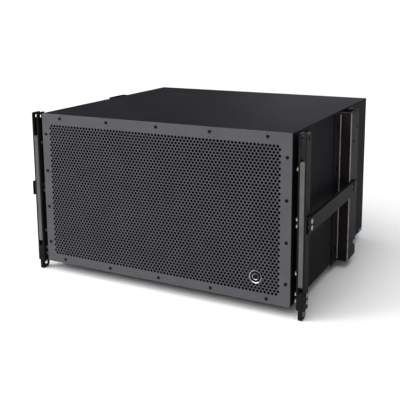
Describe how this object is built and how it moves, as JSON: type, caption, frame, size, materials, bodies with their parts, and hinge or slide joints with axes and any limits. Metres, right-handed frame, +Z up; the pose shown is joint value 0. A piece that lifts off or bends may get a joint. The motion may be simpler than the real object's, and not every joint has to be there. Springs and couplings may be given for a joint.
{
  "type": "line array speaker",
  "caption": "Untapered box loudspeaker element with a perforated steel front, bass driver, steel side rigging, swinging front links and sliding rear link bars.",
  "frame": {"origin": "halfway between the two top link pin holes, on the axis the cabinet hangs from", "axes": "+X to the right seen from the front, +Y from the grille to the rear connectors, +Z up"},
  "size_m": [0.8128, 0.6656, 0.448],
  "materials": {
    "painted_plywood": "black textured polyurea paint",
    "bare_plywood": "birch plywood, black stained",
    "grille_steel": "dark grey powder coat",
    "black_steel": "black powder coat",
    "grey_steel": "grey zinc lamella coat",
    "zinc_steel": "bright zinc plate",
    "black_screws": "black oxide",
    "badge_silver": "satin silver",
    "foam": "open-cell acoustic foam",
    "felt": "polyester damping felt",
    "paper": "coated paper pulp",
    "surround_foam": "treated cloth half roll",
    "cast_aluminium": "black painted casting",
    "ferrite": "ferrite ring",
    "coil": "copper-clad winding on its former",
    "plastic": "black moulding",
    "blue_pad": "blue urethane"
  },
  "bodies": {
    "cabinet": {"bottom_panel": "painted_plywood", "connector_dish": "black_steel", "damping_felt": "felt", "dish_screws": "black_screws", "front_badge": "badge_silver", "front_baffle": "bare_plywood", "front_bracket_left": "black_steel", "front_bracket_right": "black_steel", "front_cross_bolts": "zinc_steel", "front_grille": "grille_steel", "front_outer_plate_left": "black_steel", "front_outer_plate_right": "black_steel", "front_spacer_bar_left": "grey_steel", "front_spacer_bar_right": "grey_steel", "grille_foam": "foam", "grille_screws": "black_screws", "heel_pads": "blue_pad", "input_connector": "plastic", "link_connector": "plastic", "port_board_left": "bare_plywood", "port_board_right": "bare_plywood", "rear_channel_left": "black_steel", "rear_channel_right": "black_steel", "rear_clamp_bolts": "zinc_steel", "rear_flange_front_left": "black_steel", "rear_flange_front_right": "black_steel", "rear_flange_rear_left": "black_steel", "rear_flange_rear_right": "black_steel", "rear_guide_blocks": "plastic", "rear_guide_bolts": "grey_steel", "rear_panel": "painted_plywood", "rigging_screws": "black_screws", "side_panel_left": "painted_plywood", "side_panel_right": "painted_plywood", "side_strut_left": "black_steel", "side_strut_right": "black_steel", "speaker_lead": "surround_foam", "top_panel": "painted_plywood", "top_pin_bushes": "zinc_steel", "window_brace": "bare_plywood", "woofer_basket": "cast_aluminium", "woofer_gasket": "surround_foam", "woofer_magnet": "ferrite", "woofer_screws": "black_screws", "woofer_spider": "felt", "woofer_surround": "surround_foam", "woofer_terminals": "plastic", "woofer_top_plate": "black_steel", "woofer_yoke": "black_steel"},
    "front_link_left": {"front_link_left": "black_steel", "link_bush_left": "zinc_steel"},
    "rear_link_left": {"rear_link_bar_left": "grey_steel"},
    "front_link_right": {"front_link_right": "black_steel", "link_bush_right": "zinc_steel"},
    "rear_link_right": {"rear_link_bar_right": "grey_steel"},
    "cone": {"woofer_cone": "paper", "voice_coil": "coil", "woofer_dust_cap": "paper"}
  },
  "joints": [
    {"name": "front_link_left_swing", "type": "hinge", "parent": "cabinet", "child": "front_link_left", "pos_m": [-0.385, 0, -0.376], "axis": [1, 0, 0], "range_deg": [-10, 10]},
    {"name": "rear_link_left_slide", "type": "slide", "parent": "cabinet", "child": "rear_link_left", "axis": [0, 0, -1], "range_m": [0, 0.102]},
    {"name": "front_link_right_swing", "type": "hinge", "parent": "cabinet", "child": "front_link_right", "pos_m": [0.385, 0, -0.376], "axis": [1, 0, 0], "range_deg": [-10, 10]},
    {"name": "rear_link_right_slide", "type": "slide", "parent": "cabinet", "child": "rear_link_right", "axis": [0, 0, -1], "range_m": [0, 0.102]},
    {"name": "cone_travel", "type": "slide", "parent": "cabinet", "child": "cone", "axis": [0, -1, 0], "range_m": [-0.008, 0.008], "stiffness_N_per_m": 6000, "deforming": ["woofer_surround", "woofer_spider"]}
  ]
}
